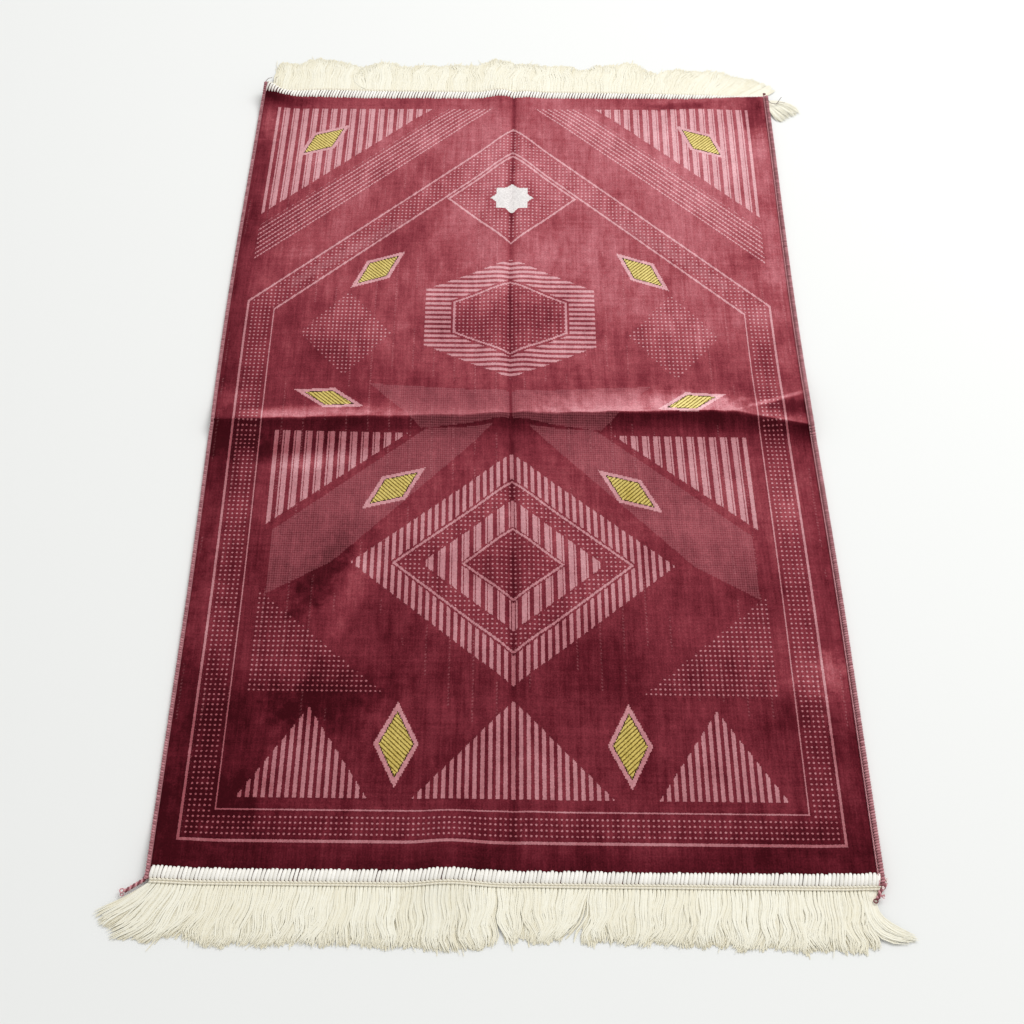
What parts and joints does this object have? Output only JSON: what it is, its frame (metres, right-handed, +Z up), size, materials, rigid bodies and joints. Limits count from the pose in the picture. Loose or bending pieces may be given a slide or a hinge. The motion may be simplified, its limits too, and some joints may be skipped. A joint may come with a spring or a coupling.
{
  "type": "prayer rug",
  "caption": "Thin velvet prayer rug lying flat with fold creases, overlocked long sides with loose thread tails, and a fringed overlocked band at each end.",
  "frame": {"origin": "centre of the rug's footprint, fringes and tails included, on the floor it lies on", "axes": "+Y along the rug towards its head end, +X to the right seen from above with the head end up, +Z up out of the pile"},
  "size_m": [0.7496, 1.2458, 0.0182],
  "materials": {
    "pile_cloth": "cut-pile velvet, burgundy with dusty pink, yellow and black figures",
    "side_overlock": "rose polyester overlock thread, loops side by side",
    "end_overlock": "white overlock thread, loops side by side",
    "fringe": "cream yarn, fine and slightly glossy, on a chain-stitched heading"
  },
  "bodies": {
    "root": {"pile_cloth": "pile_cloth", "side_overlock_left": "side_overlock", "side_overlock_right": "side_overlock", "end_overlock_head": "end_overlock", "end_overlock_foot": "end_overlock", "fringe_head": "fringe", "fringe_foot": "fringe"}
  },
  "joints": []
}
